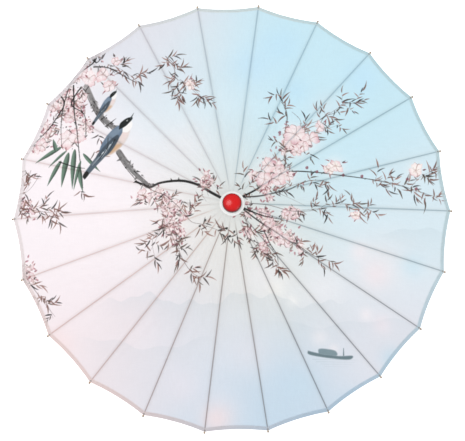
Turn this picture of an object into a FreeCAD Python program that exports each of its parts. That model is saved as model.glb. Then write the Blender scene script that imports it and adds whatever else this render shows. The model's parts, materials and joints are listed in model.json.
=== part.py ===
import FreeCAD, Part
import math
import os

# A folding parasol, open: bamboo ribs laced to a wooden hub, stretchers laced to a wooden runner
# that slides on the shaft, and a round cloth canopy glued to the ribs under a red cap.
# Millimetres and degrees. +Z runs up the shaft, and the origin is the centre of the handle's end.
# Rib 1 points along +X. Each stretcher is as long as its rib's inner part, so that its foot stays
# on the circle of the runner's thread at every slope of the ribs.

Vector = FreeCAD.Vector
UP = Vector(0, 0, 1)
SIDEWAYS = Vector(0, 1, 0)
ORIGIN = Vector(0, 0, 0)

# Driving dimensions of the frame.
RIB_COUNT = 22
SPAN = 840.0
OPEN_SLOPE = 15.0
HUB_PIVOT_HEIGHT = 520.0
PIVOT_RADIUS = 13.5
STRETCHER_LENGTH = 180.0

# Bamboo ribs and stretchers.
RIB_HALF_DEPTH = 2.0
RIB_HUB_WIDTH = 1.7
RIB_MIDDLE_WIDTH = 4.6
RIB_TIP_WIDTH = 3.0
RIB_TIP_DEPTH = 2.6
RIB_NARROW_LENGTH = 25.0
RIB_SLOT_WIDTH = 2.3
RIB_SLOT_BEFORE_JOINT = 8.5
RIB_SLOT_PAST_JOINT = 62.0
RIB_SLOT_MARGIN = 8.0
STRETCHER_WIDTH = 1.7
STRETCHER_HALF_DEPTH = 2.0
PEG_RADIUS = 0.6
PEG_RUNNING_GAP = 0.08

# Lacing threads, and the holes and grooves that they lie in.
THREAD_RADIUS = 0.6
THREAD_HOLE_RADIUS = 0.68
GROOVE_FLOOR_RADIUS = 12.7
GROOVE_HALF_HEIGHT = 0.75

# Shaft and handle.
SHAFT_RADIUS = 5.5
HANDLE_RADIUS = 10.0
HANDLE_LENGTH = 112.0
HANDLE_END_RADIUS = 8.0
HANDLE_END_ROUND = 2.0
HANDLE_SOCKET_FLOOR = 25.0
HANDLE_SHOULDER_HEIGHT = 97.0
HANDLE_NECK_RADIUS = 7.5
HANDLE_GROOVE_DEPTH = 0.8
HANDLE_GROOVE_HEIGHTS = (88.0, 92.0)

# Hub and runner heads, cut with one slot for each rib.
HEAD_RADIUS = 16.6
HEAD_HALF_HEIGHT = 4.0
SLOT_WIDTH = 2.1
SLOT_FLOOR_RADIUS = 11.3
HUB_SLOT_TOP = 2.6
HUB_TOP = 7.0
HUB_CHAMFER = 1.0
HUB_NECK_RADIUS = 9.5
HUB_NECK_BOTTOM = -16.0
RUNNER_BORE_RADIUS = 5.58
RUNNER_COLLAR_RADIUS = 9.0
RUNNER_COLLAR_TOP = 10.0
RUNNER_SLEEVE_RADIUS = 9.5
RUNNER_BEAD_RADIUS = 10.5
RUNNER_BEAD_HEIGHT = 5.0
RUNNER_BOTTOM = -30.0

# Canopy, and the collar and cap over its middle.
CLOTH_THICKNESS = 0.4
CLOTH_GAP = 0.35
CLOTH_HOLE_RADIUS = 17.2
CLOTH_SHORT_OF_TIP = 3.0
EDGE_HOLLOW = 4.0
COLLAR_INNER_RADIUS = 16.9
COLLAR_OUTER_RADIUS = 23.2
COLLAR_THICKNESS = 1.0
COLLAR_GAP = 0.2
CAP_RADIUS = 18.0
CAP_CAVITY_RADIUS = 16.7
CAP_BOTTOM = 3.2
CAP_TOP = 15.5
CAP_DOME_RADIUS = 38.0
CAP_EDGE_ROUND = 4.5

# Sprung catch under the open runner, and the pins and nail in the shaft.
CATCH_PIVOT_HEIGHT = 350.0
CATCH_NOSE_HEIGHT = 45.6
CATCH_NOSE_RADIUS = 9.0
CATCH_TAIL_RADIUS = 1.0
CATCH_THICKNESS = 1.1
CATCH_WIDTH = 2.4
CATCH_EYE_RADIUS = 1.9
CATCH_PIN_RADIUS = 0.8
CATCH_PIN_GAP = 0.06
CATCH_SLOT_WIDTH = 2.9
CATCH_SLOT_BACK = 4.4
CATCH_SLOT_MARGIN = 4.0
STOP_PIN_RADIUS = 1.0
STOP_PIN_LENGTH = 16.0
STOP_PIN_LIFT = 0.6
NAIL_RADIUS = 0.7
NAIL_HEAD_RADIUS = 1.5
NAIL_HEAD_HEIGHT = 0.6
NAIL_DEPTH = 7.5
NAIL_DROP = 10.0

SIN_OPEN = math.sin(math.radians(OPEN_SLOPE))
COS_OPEN = math.cos(math.radians(OPEN_SLOPE))
TAN_OPEN = math.tan(math.radians(OPEN_SLOPE))
STEP_ANGLE = 360.0 / RIB_COUNT
HALF_STEP = math.radians(STEP_ANGLE / 2)
TIP_RADIUS = SPAN / 2
RIB_LENGTH = (TIP_RADIUS - PIVOT_RADIUS) / COS_OPEN
RUNNER_PIVOT_HEIGHT = HUB_PIVOT_HEIGHT - 2 * STRETCHER_LENGTH * SIN_OPEN
OVERCUT = 1.0


def outline(start, *steps):
    """A closed wire in the XZ plane. A step is the next point, or (middle, end) of an arc."""
    def at(point):
        return Vector(point[0], 0, point[1])

    edges = []
    here = at(start)
    for step in steps + (start,):
        if isinstance(step[0], tuple):
            middle, end = at(step[0]), at(step[1])
            edges.append(Part.Arc(here, middle, end).toShape())
            here = end
        elif at(step).distanceToPoint(here) > 1e-7:
            edges.append(Part.LineSegment(here, at(step)).toShape())
            here = at(step)
    return Part.Wire(edges)


def turned(start, *steps):
    """A solid turned about the shaft's axis. Its outline's points are (radius, height)."""
    return Part.Face(outline(start, *steps)).revolve(ORIGIN, UP, 360)


def sawn(thickness, start, *steps):
    """A flat piece of that thickness, centred on the XZ plane."""
    face = Part.Face(outline(start, *steps))
    face.translate(Vector(0, -thickness / 2, 0))
    return face.extrude(Vector(0, thickness, 0))


def crosswise_peg(radius, length, x, z):
    """A round peg along Y, centred on the XZ plane."""
    return Part.makeCylinder(radius, length, Vector(x, -length / 2, z), SIDEWAYS)


def around(shape, index):
    """A copy of the shape, turned to the place of rib number index, counted from 0."""
    turned_copy = shape.copy()
    turned_copy.rotate(ORIGIN, UP, index * STEP_ANGLE)
    return turned_copy


def ring_of_slots(bottom, top):
    """The cuts for the rib or stretcher ends in a turned head."""
    reach = HEAD_RADIUS + OVERCUT - SLOT_FLOOR_RADIUS
    corner = Vector(SLOT_FLOOR_RADIUS, -SLOT_WIDTH / 2, bottom)
    slot = Part.makeBox(reach, SLOT_WIDTH, top - bottom, corner)
    return Part.makeCompound([around(slot, index) for index in range(RIB_COUNT)])


def thread_groove(height):
    outer = HEAD_RADIUS + OVERCUT
    low, high = height - GROOVE_HALF_HEIGHT, height + GROOVE_HALF_HEIGHT
    return turned((GROOVE_FLOOR_RADIUS, low), (outer, low), (outer, high), (GROOVE_FLOOR_RADIUS, high))


def thread_ring(height):
    return Part.makeTorus(PIVOT_RADIUS, THREAD_RADIUS, Vector(0, 0, height), UP)


def rib_blank():
    """The bamboo strip along +X from the hub's thread, with its outer skin up."""
    depth = RIB_HALF_DEPTH
    taper_start = STRETCHER_LENGTH + RIB_SLOT_PAST_JOINT + RIB_SLOT_MARGIN
    side = sawn(
        RIB_MIDDLE_WIDTH,
        (0, depth),
        ((-depth, 0), (0, -depth)),
        (taper_start, -depth),
        (RIB_LENGTH, depth - RIB_TIP_DEPTH),
        (RIB_LENGTH, depth),
    )
    slot_start = STRETCHER_LENGTH - RIB_SLOT_BEFORE_JOINT - RIB_SLOT_MARGIN
    half_widths = (
        (-depth, RIB_HUB_WIDTH / 2),
        (RIB_NARROW_LENGTH, RIB_HUB_WIDTH / 2),
        (slot_start, RIB_MIDDLE_WIDTH / 2),
        (taper_start, RIB_MIDDLE_WIDTH / 2),
        (RIB_LENGTH, RIB_TIP_WIDTH / 2),
    )
    corners = [Vector(x, y, -2 * depth) for x, y in half_widths]
    corners += [Vector(x, -y, -2 * depth) for x, y in reversed(half_widths)]
    plan = Part.Face(Part.makePolygon(corners + corners[:1])).extrude(Vector(0, 0, 4 * depth))
    return side.common(plan)


def rib():
    """One rib with the long slot that its stretcher folds into, and the peg across the slot."""
    slot_length = RIB_SLOT_BEFORE_JOINT + RIB_SLOT_PAST_JOINT
    slot_height = 2 * RIB_HALF_DEPTH + 2 * OVERCUT
    slot_start = STRETCHER_LENGTH - RIB_SLOT_BEFORE_JOINT
    corner = Vector(slot_start, -RIB_SLOT_WIDTH / 2, -slot_height / 2)
    slot = Part.makeBox(slot_length, RIB_SLOT_WIDTH, slot_height, corner)
    peg = crosswise_peg(PEG_RADIUS, RIB_MIDDLE_WIDTH, STRETCHER_LENGTH, 0)
    thread_hole = crosswise_peg(THREAD_HOLE_RADIUS, RIB_MIDDLE_WIDTH, 0, 0)
    strip = rib_blank().cut(slot).cut(peg).cut(thread_hole)
    both = Part.makeCompound([strip, peg])
    both.rotate(ORIGIN, SIDEWAYS, OPEN_SLOPE)
    both.translate(Vector(PIVOT_RADIUS, 0, HUB_PIVOT_HEIGHT))
    return both


def stretcher():
    """One stretcher, from the peg in the rib down to the runner's thread."""
    depth = STRETCHER_HALF_DEPTH
    length = STRETCHER_LENGTH
    strip = sawn(
        STRETCHER_WIDTH,
        (0, -depth),
        (length, -depth),
        ((length + depth, 0), (length, depth)),
        (0, depth),
        ((-depth, 0), (0, -depth)),
    )
    peg_hole = crosswise_peg(PEG_RADIUS + PEG_RUNNING_GAP, RIB_MIDDLE_WIDTH, 0, 0)
    thread_hole = crosswise_peg(THREAD_HOLE_RADIUS, RIB_MIDDLE_WIDTH, length, 0)
    strip = strip.cut(peg_hole).cut(thread_hole)
    strip.rotate(ORIGIN, SIDEWAYS, 180 - OPEN_SLOPE)
    joint_radius = PIVOT_RADIUS + length * COS_OPEN
    strip.translate(Vector(joint_radius, 0, HUB_PIVOT_HEIGHT - length * SIN_OPEN))
    return strip


def handle():
    """Turned grip with two decorative grooves and a socket for the shaft."""
    end_corner = HANDLE_RADIUS - HANDLE_END_ROUND * (1 - math.sqrt(0.5))
    grip = turned(
        (0, 0),
        (HANDLE_END_RADIUS, 0),
        ((end_corner, HANDLE_RADIUS - end_corner), (HANDLE_RADIUS, HANDLE_END_ROUND)),
        (HANDLE_RADIUS, HANDLE_SHOULDER_HEIGHT),
        (HANDLE_NECK_RADIUS, HANDLE_LENGTH),
        (SHAFT_RADIUS, HANDLE_LENGTH),
        (SHAFT_RADIUS, HANDLE_SOCKET_FLOOR),
        (0, HANDLE_SOCKET_FLOOR),
    )
    for height in HANDLE_GROOVE_HEIGHTS:
        grip = grip.cut(Part.makeTorus(HANDLE_RADIUS, HANDLE_GROOVE_DEPTH, Vector(0, 0, height), UP))
    return grip


def nail():
    """Small nail that holds the hub on the shaft, driven in from +X."""
    height = HUB_PIVOT_HEIGHT - NAIL_DROP
    inward = Vector(-1, 0, 0)
    head_face = HUB_NECK_RADIUS + NAIL_HEAD_HEIGHT
    head = Part.makeCylinder(NAIL_HEAD_RADIUS, NAIL_HEAD_HEIGHT, Vector(head_face, 0, height), inward)
    stem = Part.makeCylinder(NAIL_RADIUS, NAIL_DEPTH, Vector(HUB_NECK_RADIUS, 0, height), inward)
    return head.fuse(stem)


def catch_pin():
    start = Vector(-SHAFT_RADIUS + OVERCUT / 2, 0, CATCH_PIVOT_HEIGHT)
    return Part.makeCylinder(CATCH_PIN_RADIUS, 2 * SHAFT_RADIUS - OVERCUT, start, Vector(1, 0, 0))


def stop_pin():
    """Pin across the shaft, just above the open runner."""
    height = RUNNER_PIVOT_HEIGHT + RUNNER_COLLAR_TOP + STOP_PIN_LIFT + STOP_PIN_RADIUS
    start = Vector(-STOP_PIN_LENGTH / 2, 0, height)
    return Part.makeCylinder(STOP_PIN_RADIUS, STOP_PIN_LENGTH, start, Vector(1, 0, 0))


def shaft():
    top = HUB_PIVOT_HEIGHT + HUB_TOP
    dowel = Part.makeCylinder(SHAFT_RADIUS, top - HANDLE_SOCKET_FLOOR, Vector(0, 0, HANDLE_SOCKET_FLOOR))
    slot_bottom = CATCH_PIVOT_HEIGHT - CATCH_SLOT_MARGIN
    slot_height = CATCH_NOSE_HEIGHT + 2 * CATCH_SLOT_MARGIN
    slot_depth = CATCH_SLOT_BACK + SHAFT_RADIUS + OVERCUT
    corner = Vector(-CATCH_SLOT_WIDTH / 2, -SHAFT_RADIUS - OVERCUT, slot_bottom)
    catch_slot = Part.makeBox(CATCH_SLOT_WIDTH, slot_depth, slot_height, corner)
    return dowel.cut(catch_slot).cut(catch_pin()).cut(stop_pin()).cut(nail())


def top_hub():
    """Slotted hub that the rib ends turn in."""
    height = HUB_PIVOT_HEIGHT
    blank = turned(
        (SHAFT_RADIUS, height + HUB_NECK_BOTTOM),
        (HUB_NECK_RADIUS - HUB_CHAMFER, height + HUB_NECK_BOTTOM),
        (HUB_NECK_RADIUS, height + HUB_NECK_BOTTOM + HUB_CHAMFER),
        (HUB_NECK_RADIUS, height - HEAD_HALF_HEIGHT),
        (HEAD_RADIUS, height - HEAD_HALF_HEIGHT),
        (HEAD_RADIUS, height + HUB_TOP - HUB_CHAMFER),
        (HEAD_RADIUS - HUB_CHAMFER, height + HUB_TOP),
        (SHAFT_RADIUS, height + HUB_TOP),
    )
    slots = ring_of_slots(height - HEAD_HALF_HEIGHT - OVERCUT, height + HUB_SLOT_TOP)
    return blank.cut(slots).cut(thread_groove(height)).cut(nail())


def runner():
    """Slotted runner that the stretcher feet turn in. Its slots are open above and below."""
    height = RUNNER_PIVOT_HEIGHT
    bead_top = RUNNER_BOTTOM + RUNNER_BEAD_HEIGHT
    bead_middle = RUNNER_BOTTOM + RUNNER_BEAD_HEIGHT / 2
    blank = turned(
        (RUNNER_BORE_RADIUS, height + RUNNER_BOTTOM),
        (RUNNER_SLEEVE_RADIUS, height + RUNNER_BOTTOM),
        ((RUNNER_BEAD_RADIUS, height + bead_middle), (RUNNER_SLEEVE_RADIUS, height + bead_top)),
        (RUNNER_SLEEVE_RADIUS, height - HEAD_HALF_HEIGHT),
        (HEAD_RADIUS, height - HEAD_HALF_HEIGHT),
        (HEAD_RADIUS, height + HEAD_HALF_HEIGHT),
        (RUNNER_COLLAR_RADIUS, height + HEAD_HALF_HEIGHT),
        (RUNNER_COLLAR_RADIUS, height + RUNNER_COLLAR_TOP),
        (RUNNER_BORE_RADIUS, height + RUNNER_COLLAR_TOP),
    )
    slots = ring_of_slots(height - HEAD_HALF_HEIGHT - OVERCUT, height + HEAD_HALF_HEIGHT + OVERCUT)
    return blank.cut(slots).cut(thread_groove(height))


def catch_spring():
    """Bent spring strip in the shaft's slot. Its nose stands out of the shaft under the runner."""
    nose, top, thick = CATCH_NOSE_RADIUS, CATCH_NOSE_HEIGHT, CATCH_THICKNESS
    strip = sawn(
        CATCH_WIDTH,
        (0, 0),
        (nose, top - thick),
        (nose, top),
        (CATCH_TAIL_RADIUS, top),
        (CATCH_TAIL_RADIUS, top - thick),
        (nose - 2 * thick, top - thick),
        (-thick, 0),
    )
    eye = crosswise_peg(CATCH_EYE_RADIUS, CATCH_WIDTH, 0, 0)
    hole = crosswise_peg(CATCH_PIN_RADIUS + CATCH_PIN_GAP, 2 * CATCH_WIDTH, 0, 0)
    spring = strip.fuse(eye).cut(hole)
    spring.rotate(ORIGIN, UP, -90)
    spring.translate(Vector(0, 0, CATCH_PIVOT_HEIGHT))
    return spring


def ridge_height(radius):
    """Height of the cloth's underside along a rib."""
    lift = (RIB_HALF_DEPTH + CLOTH_GAP) / COS_OPEN
    return HUB_PIVOT_HEIGHT + lift - (radius - PIVOT_RADIUS) * TAN_OPEN


def canopy():
    """Thin pyramid of cloth over the ribs. Its edge hollows in between the rib tips."""
    edge_radius = TIP_RADIUS - CLOTH_SHORT_OF_TIP
    hollow_radius = edge_radius * math.cos(HALF_STEP) - EDGE_HOLLOW
    axis_height = ridge_height(0)
    hollow_height = axis_height - hollow_radius * TAN_OPEN / math.cos(HALF_STEP)

    def on_ridge(radius, side):
        angle = side * HALF_STEP
        return Vector(radius * math.cos(angle), radius * math.sin(angle), ridge_height(radius))

    inner_left, inner_right = on_ridge(CLOTH_HOLE_RADIUS, -1), on_ridge(CLOTH_HOLE_RADIUS, 1)
    outer_left, outer_right = on_ridge(edge_radius, -1), on_ridge(edge_radius, 1)
    hollow = Vector(hollow_radius, 0, hollow_height)
    wire = Part.Wire([
        Part.LineSegment(inner_left, outer_left).toShape(),
        Part.Arc(outer_left, hollow, outer_right).toShape(),
        Part.LineSegment(outer_right, inner_right).toShape(),
        Part.LineSegment(inner_right, inner_left).toShape(),
    ])
    gore = Part.Face(wire).extrude(Vector(0, 0, CLOTH_THICKNESS / COS_OPEN))
    gores = [around(gore, index + 0.5) for index in range(RIB_COUNT)]
    return gores[0].multiFuse(gores[1:])


def collar():
    """Shallow conical washer that covers the cloth's inner edge."""
    def seat(radius):
        return ridge_height(radius) + CLOTH_THICKNESS / COS_OPEN + COLLAR_GAP

    inner, outer = COLLAR_INNER_RADIUS, COLLAR_OUTER_RADIUS
    rim_middle = (outer + COLLAR_THICKNESS / 2, seat(outer) + COLLAR_THICKNESS / 2)
    return turned(
        (inner, seat(inner)),
        (outer, seat(outer)),
        (rim_middle, (outer, seat(outer) + COLLAR_THICKNESS)),
        (inner, seat(inner) + COLLAR_THICKNESS),
    )


def top_cap():
    """Domed cap over the hub. Its cavity's ceiling rests on the hub's top."""
    height = HUB_PIVOT_HEIGHT
    dome_centre = height + CAP_TOP - CAP_DOME_RADIUS
    round_centre_radius = CAP_RADIUS - CAP_EDGE_ROUND
    lean = math.asin(round_centre_radius / (CAP_DOME_RADIUS - CAP_EDGE_ROUND))
    round_centre = dome_centre + (CAP_DOME_RADIUS - CAP_EDGE_ROUND) * math.cos(lean)

    def on_dome(angle):
        return (CAP_DOME_RADIUS * math.sin(angle), dome_centre + CAP_DOME_RADIUS * math.cos(angle))

    round_angle = (lean + math.pi / 2) / 2
    round_middle = (
        round_centre_radius + CAP_EDGE_ROUND * math.sin(round_angle),
        round_centre + CAP_EDGE_ROUND * math.cos(round_angle),
    )
    return turned(
        (CAP_CAVITY_RADIUS, height + CAP_BOTTOM),
        (CAP_RADIUS, height + CAP_BOTTOM),
        (CAP_RADIUS, round_centre),
        (round_middle, on_dome(lean)),
        (on_dome(lean / 2), on_dome(0)),
        (0, height + HUB_TOP),
        (CAP_CAVITY_RADIUS, height + HUB_TOP),
    )


def all_pieces():
    """Every sub-part by its node's name."""
    pieces = {
        "handle": handle(),
        "shaft": shaft(),
        "top_hub": top_hub(),
        "hub_nail": nail(),
        "hub_thread": thread_ring(HUB_PIVOT_HEIGHT),
        "catch_pin": catch_pin(),
        "stop_pin": stop_pin(),
        "canopy": canopy(),
        "collar": collar(),
        "top_cap": top_cap(),
        "catch_spring": catch_spring(),
        "runner": runner(),
        "runner_thread": thread_ring(RUNNER_PIVOT_HEIGHT),
    }
    one_rib = rib()
    one_stretcher = stretcher()
    for index in range(RIB_COUNT):
        pieces[f"rib_{index + 1:02d}"] = around(one_rib, index)
        pieces[f"stretcher_{index + 1:02d}"] = around(one_stretcher, index)
    return pieces


os.makedirs("parts", exist_ok=True)
for name, piece in all_pieces().items():
    solids = piece.Solids
    assert solids and all(solid.isValid() for solid in solids), name
    print(f"{name}: {len(solids)} solid(s), {piece.Volume:.1f} mm3")
    piece.exportStep(f"parts/{name}.step")
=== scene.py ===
import json
import math

import bmesh
import bpy
import numpy as np
from mathutils import Matrix, Vector

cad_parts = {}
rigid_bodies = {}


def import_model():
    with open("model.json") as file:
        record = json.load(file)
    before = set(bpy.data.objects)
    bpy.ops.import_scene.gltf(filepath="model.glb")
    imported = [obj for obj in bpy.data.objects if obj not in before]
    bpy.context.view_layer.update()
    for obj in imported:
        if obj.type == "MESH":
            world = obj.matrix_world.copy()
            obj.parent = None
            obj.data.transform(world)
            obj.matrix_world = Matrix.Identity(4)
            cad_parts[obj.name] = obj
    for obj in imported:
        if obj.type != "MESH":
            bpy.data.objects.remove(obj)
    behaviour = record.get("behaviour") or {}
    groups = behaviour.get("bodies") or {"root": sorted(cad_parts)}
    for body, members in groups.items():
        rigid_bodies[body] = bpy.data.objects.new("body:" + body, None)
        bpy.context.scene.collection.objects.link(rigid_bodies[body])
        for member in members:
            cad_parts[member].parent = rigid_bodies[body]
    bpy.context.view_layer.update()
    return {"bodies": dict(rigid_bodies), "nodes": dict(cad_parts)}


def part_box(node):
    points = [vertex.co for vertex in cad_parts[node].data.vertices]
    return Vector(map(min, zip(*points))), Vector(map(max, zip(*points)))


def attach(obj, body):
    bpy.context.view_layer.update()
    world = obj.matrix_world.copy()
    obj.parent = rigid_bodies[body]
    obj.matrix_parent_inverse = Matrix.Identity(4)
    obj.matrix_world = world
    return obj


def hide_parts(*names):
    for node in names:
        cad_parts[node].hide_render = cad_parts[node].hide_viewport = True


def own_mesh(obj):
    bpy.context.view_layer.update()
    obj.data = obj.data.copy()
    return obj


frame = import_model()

# Sizes, in metres and radians. The first ones are read from the frame.
RIBS = [name for name in sorted(frame["bodies"]) if name.startswith("rib_")]
STEP = 2 * math.pi / len(RIBS)
HALF_STEP = STEP / 2
CLOTH_LOW, CLOTH_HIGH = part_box("canopy")
EDGE_RADIUS = CLOTH_HIGH.x
HOLE_RADIUS = 0.0172
CLOTH_THICKNESS = 0.0004
FALL = (CLOTH_HIGH.z - CLOTH_LOW.z - CLOTH_THICKNESS) / (EDGE_RADIUS - HOLE_RADIUS)
SLOPE = math.atan(FALL)
EDGE_HOLLOW = 0.004
CLOTH_SPACING = 0.0009
SIDES = (("left", 1), ("right", -1))
HEM_WIDTH = 0.007
HEM_FOLD = 0.0002
RIB_RIDGE = 0.0003
PRINT_TURN = math.radians(1.1)
BARE_END = {"Turns": 6.0, "Length": 0.0029, "Half width": 0.00172, "Half depth": 0.00152}

# The painted shade of each rib's shadow seen through the cloth over it, darkest towards the front, and the hem's own
# paint, by the angle about the shaft in degrees.
RIB_SHADE_TINTS = ((180, (0.92, 0.82, 0.80)), (120, (0.84, 0.80, 0.82)), (75, (0.66, 0.74, 0.79)), (10, (0.56, 0.64, 0.68)),
             (-50, (0.34, 0.34, 0.36)), (-100, (0.46, 0.38, 0.36)), (-140, (0.84, 0.66, 0.60)))
HEM_PAINT = ((180, "F4EDEE"), (130, "EDE8EC"), (90, "DCE7E5"), (45, "C4E0E6"), (0, "C6DCE0"), (-35, "C2D8E2"),
             (-62, "A4C8E0"), (-80, "B9CBDC"), (-98, "E6D0CD"), (-140, "F0DAD6"))


# ---------------------------------------------------------------- node trees


class Value:
    """A node's output on which arithmetic adds Math nodes."""

    def __init__(self, tree, socket):
        self.tree = tree
        self.socket = socket

    def math(self, operation, *others):
        node = self.tree.node("ShaderNodeMath", {"operation": operation},
                              {i: v for i, v in enumerate((self,) + others)})
        return Value(self.tree, node.outputs[0])

    def __add__(self, other):
        return self.math("ADD", other)

    __radd__ = __add__

    def __mul__(self, other):
        return self.math("MULTIPLY", other)

    __rmul__ = __mul__

    def __sub__(self, other):
        return self.math("SUBTRACT", other)

    def __rsub__(self, other):
        return (self * -1) + other

    def __truediv__(self, other):
        return self.math("DIVIDE", other)

    def __pow__(self, other):
        return self.math("POWER", other)

    def clamped(self):
        return self.math("MAXIMUM", 0.0).math("MINIMUM", 1.0)


class Tree:
    """A node tree, built with one method for every kind of node."""

    def __init__(self, nodes_of):
        self.tree = nodes_of

    def node(self, kind, settings=None, inputs=None):
        node = self.tree.nodes.new(kind)
        for name, value in (settings or {}).items():
            setattr(node, name, value)
        for name, value in (inputs or {}).items():
            self.feed(node.inputs[name], value)
        return node

    def feed(self, socket, value):
        if isinstance(value, Value):
            value = value.socket
        if isinstance(value, bpy.types.NodeSocket):
            self.tree.links.new(value, socket)
        else:
            socket.default_value = value


class Finish(Tree):
    """A material under construction. done() gives it its shader and returns it."""

    def __init__(self, name):
        self.material = bpy.data.materials.new(name)
        self.material.use_nodes = True
        super().__init__(self.material.node_tree)
        self.tree.nodes.clear()

    def value(self, node, output=0):
        return Value(self, node.outputs[output])

    def place(self):
        """The point's x, y and z, and the whole vector, in the object's own frame."""
        vector = self.node("ShaderNodeTexCoord").outputs["Object"]
        parts = self.node("ShaderNodeSeparateXYZ", inputs={0: vector})
        return [self.value(parts, i) for i in range(3)] + [vector]

    def vector(self, x, y, z):
        return self.node("ShaderNodeCombineXYZ", inputs={0: x, 1: y, 2: z}).outputs[0]

    def noise(self, vector, scale, detail=3.0, roughness=0.55):
        inputs = {"Vector": vector, "Scale": scale, "Detail": detail, "Roughness": roughness}
        return self.value(self.node("ShaderNodeTexNoise", {"noise_dimensions": "3D"}, inputs))

    def ramp(self, value, *stops):
        """Colour by value. The stops are (position, colour)."""
        node = self.node("ShaderNodeValToRGB", inputs={0: value})
        elements = node.color_ramp.elements
        while len(elements) < len(stops):
            elements.new(0.5)
        for element, (position, colour) in zip(elements, stops):
            element.position = position
            element.color = (*colour, 1)
        return node.outputs[0]

    def mix(self, factor, first, second, blend="MIX"):
        def padded(colour):
            return (*colour, 1) if isinstance(colour, tuple) and len(colour) == 3 else colour

        settings = {"data_type": "RGBA", "blend_type": blend}
        node = self.node("ShaderNodeMix", settings, {0: factor, 6: padded(first), 7: padded(second)})
        return node.outputs[2]

    def grey(self, value):
        return self.node("ShaderNodeCombineColor", inputs={0: value, 1: value, 2: value}).outputs[0]

    def bump(self, height, distance, strength=1.0):
        inputs = {"Height": height, "Distance": distance, "Strength": strength}
        return self.node("ShaderNodeBump", inputs=inputs).outputs[0]

    def surface(self, colour, roughness, **others):
        inputs = {"Base Color": colour, "Roughness": roughness}
        inputs.update({name.replace("_", " "): value for name, value in others.items()})
        return self.node("ShaderNodeBsdfPrincipled", inputs=inputs).outputs[0]

    def done(self, shader):
        self.node("ShaderNodeOutputMaterial", inputs={"Surface": shader})
        return self.material


def linear(hexadecimal):
    """Linear red, green and blue of a colour written as RRGGBB."""
    values = np.array([int(hexadecimal[i:i + 2], 16) / 255 for i in (0, 2, 4)])
    return tuple(float(v) for v in to_linear(values))


def to_linear(values):
    return np.where(values <= 0.04045, values / 12.92, ((values + 0.055) / 1.055) ** 2.4)


# ---------------------------------------------------------------- the print on the cloth

INK = "111010"
BARK = "3F3A39"
GREY_BARK = "7D7B7C"
TWIG = "5A4B4B"
LEAVES = ("7C564B", "463C3B", "93675D", "262122", "80594F", "AC7F74", "584A40")
ROSE = "DDA8AC"
DARK_ROSE = "84505A"
PETAL = "FAF1F3"
PALE_PETAL = "FEF7F2"
OUTLINES = ("84505A", "7A4A44", "A0676B", "5E4040")
BAMBOO_LEAF = "64806F"

# The wash's tints, and the places in millimetres where each is laid. They run into each other.
MIST = "E4E4E0"
PEARL = "ECECF0"
SKY = "C8E8F4"
DEEP_SKY = "C0E4F8"
PALE_SKY = "D8E8F0"
BLUSH = "F8F0F4"
ROSE_MIST = "F0E4E8"
LILAC_MIST = "E0E0E8"
WATER = "C4D8E8"
WASH = (
    (MIST, (0, 0), (60, -110)),
    (SKY, (120, 80), (80, 280), (250, 160), (260, 280)),
    (PALE_SKY, (-70, 200), (370, 30), (240, -60)),
    (BLUSH, (-340, 100), (-340, -70), (-180, 0)),
    (ROSE_MIST, (-280, -210)),
    (LILAC_MIST, (-100, -230), (260, -220), (-160, 340)),
    (WATER, (80, -350)),
)
WASH_SPREAD = 90.0


def rgb(hexadecimal):
    return np.array([int(hexadecimal[i:i + 2], 16) / 255 for i in (0, 2, 4)], np.float32)


def smooth_line(points, steps=8):
    """Points of a Catmull-Rom curve through the given ones."""
    given = np.array([points[0], *points, points[-1]], float)
    t = np.linspace(0, 1, steps, endpoint=False)[:, None]
    spans = []
    for a, b, c, d in zip(given, given[1:], given[2:], given[3:]):
        spans.append(0.5 * (2 * b + (c - a) * t + (2 * a - 5 * b + 4 * c - d) * t ** 2
                            + (3 * b - a - 3 * c + d) * t ** 3))
    return np.vstack(spans + [given[-1:]])


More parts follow.
